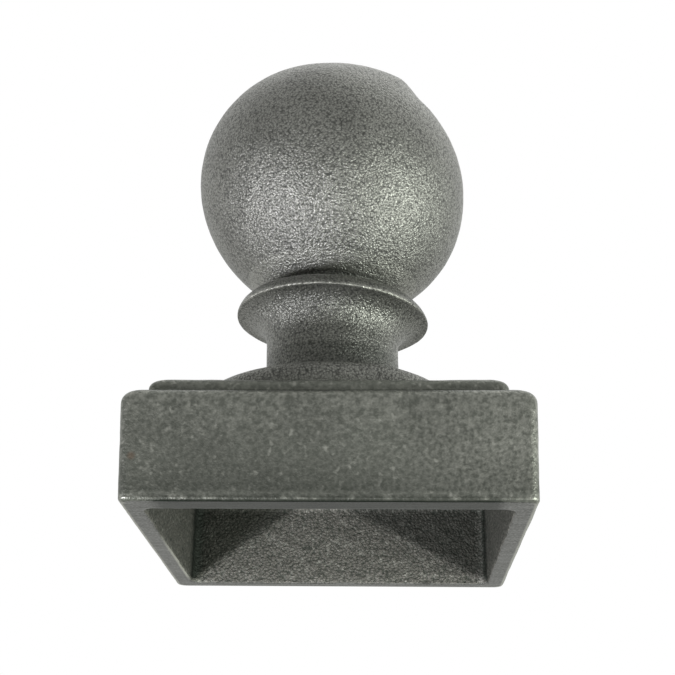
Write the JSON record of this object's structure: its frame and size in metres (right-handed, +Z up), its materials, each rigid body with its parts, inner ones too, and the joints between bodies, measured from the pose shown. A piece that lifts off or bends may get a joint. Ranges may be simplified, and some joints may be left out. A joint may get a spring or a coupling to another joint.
{
  "type": "ball post cap",
  "caption": "Cast iron cap for a square post: open square cup, stepped pad, round plinth, waisted neck, flared ring and a large ball.",
  "frame": {"origin": "middle of the cup's rim, on the plane the rim stands on", "axes": "+Z up along the post towards the ball; -Y is the front side, the one the picture faces; +X to the right seen from the front"},
  "size_m": [0.0714, 0.0714, 0.1043],
  "materials": {
    "cast_skin": "rough"
  },
  "bodies": {
    "root": {"cap_casting": "cast_skin"}
  },
  "joints": []
}
